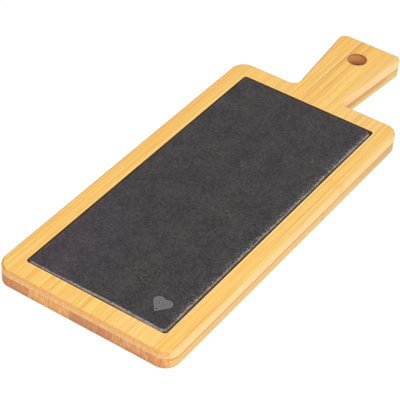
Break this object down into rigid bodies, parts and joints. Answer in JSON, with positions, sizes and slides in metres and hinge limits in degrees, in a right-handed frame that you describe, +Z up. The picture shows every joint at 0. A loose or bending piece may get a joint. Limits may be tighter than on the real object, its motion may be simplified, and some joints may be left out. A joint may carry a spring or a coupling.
{
  "type": "slate serving board",
  "caption": "Flat bamboo serving board with a flared handle and a hanging hole, framing a loose slate tile that lifts out and carries a small engraved heart.",
  "frame": {"origin": "middle of the board's underside, on the table", "axes": "+Y along the board towards the handle, +X to the right seen from the near end, +Z up"},
  "size_m": [0.15, 0.4, 0.0162],
  "materials": {
    "bamboo_natural": "light natural bamboo, sanded, thin satin oil",
    "bamboo_brown": "steamed brown bamboo, sanded, thin satin oil",
    "slate": "riven natural slate, matt, with hand-chipped edges",
    "pad_rubber": "matt black rubber"
  },
  "bodies": {
    "board": {"base_strip_1": "bamboo_brown", "base_strip_2": "bamboo_brown", "base_strip_3": "bamboo_natural", "base_strip_4": "bamboo_natural", "base_strip_5": "bamboo_brown", "base_strip_6": "bamboo_brown", "base_strip_7": "bamboo_natural", "base_strip_8": "bamboo_natural", "base_strip_9": "bamboo_natural", "top_strip_1": "bamboo_natural", "top_strip_2": "bamboo_natural", "top_strip_3_near": "bamboo_natural", "top_strip_4_near": "bamboo_natural", "top_strip_5_near": "bamboo_natural", "top_strip_6_near": "bamboo_natural", "top_strip_7_near": "bamboo_natural", "top_strip_3_far": "bamboo_natural", "top_strip_4_far": "bamboo_natural", "top_strip_5_far": "bamboo_natural", "top_strip_6_far": "bamboo_natural", "top_strip_7_far": "bamboo_natural", "top_strip_8": "bamboo_natural", "top_strip_9": "bamboo_natural"},
    "slate": {"slate_tile": "slate", "slate_pads": "pad_rubber"}
  },
  "joints": [
    {"name": "slate_lift", "type": "slide", "parent": "board", "child": "slate", "axis": [0, 0, 1], "range_m": [0, 0.05]}
  ]
}
